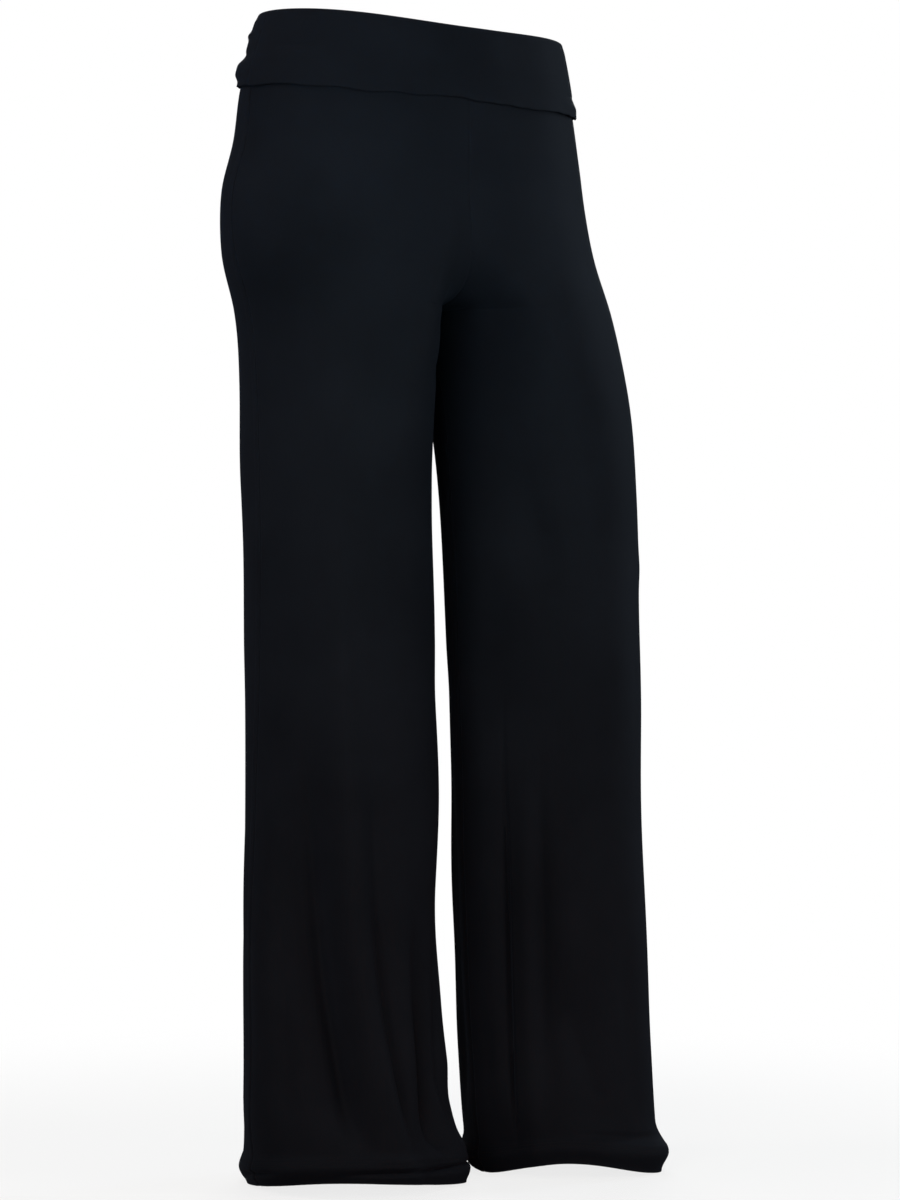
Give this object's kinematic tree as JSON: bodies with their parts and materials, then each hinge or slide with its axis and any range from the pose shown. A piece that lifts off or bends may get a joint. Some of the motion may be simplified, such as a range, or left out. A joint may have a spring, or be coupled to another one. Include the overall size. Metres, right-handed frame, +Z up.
{
  "type": "palazzo trousers",
  "caption": "Pull-on wide-leg trousers in plain jersey with a fold-over waistband and long straight legs that break on the floor, hollow, as they hang when worn.",
  "frame": {"origin": "centre of the waist opening, in the slanting plane of the band's top fold, where the wearer holds the trousers up", "axes": "+Z up along the legs towards the waist, -Y the wearer's front, +X the wearer's left"},
  "size_m": [0.4149, 0.2968, 1.0691],
  "materials": {
    "jersey": "matte knitted jersey, near-black navy"
  },
  "bodies": {
    "root": {"front_panel_right_leg": "jersey", "front_panel_left_leg": "jersey", "back_panel_right_leg": "jersey", "back_panel_left_leg": "jersey", "waistband_front": "jersey", "waistband_back": "jersey"}
  },
  "joints": []
}
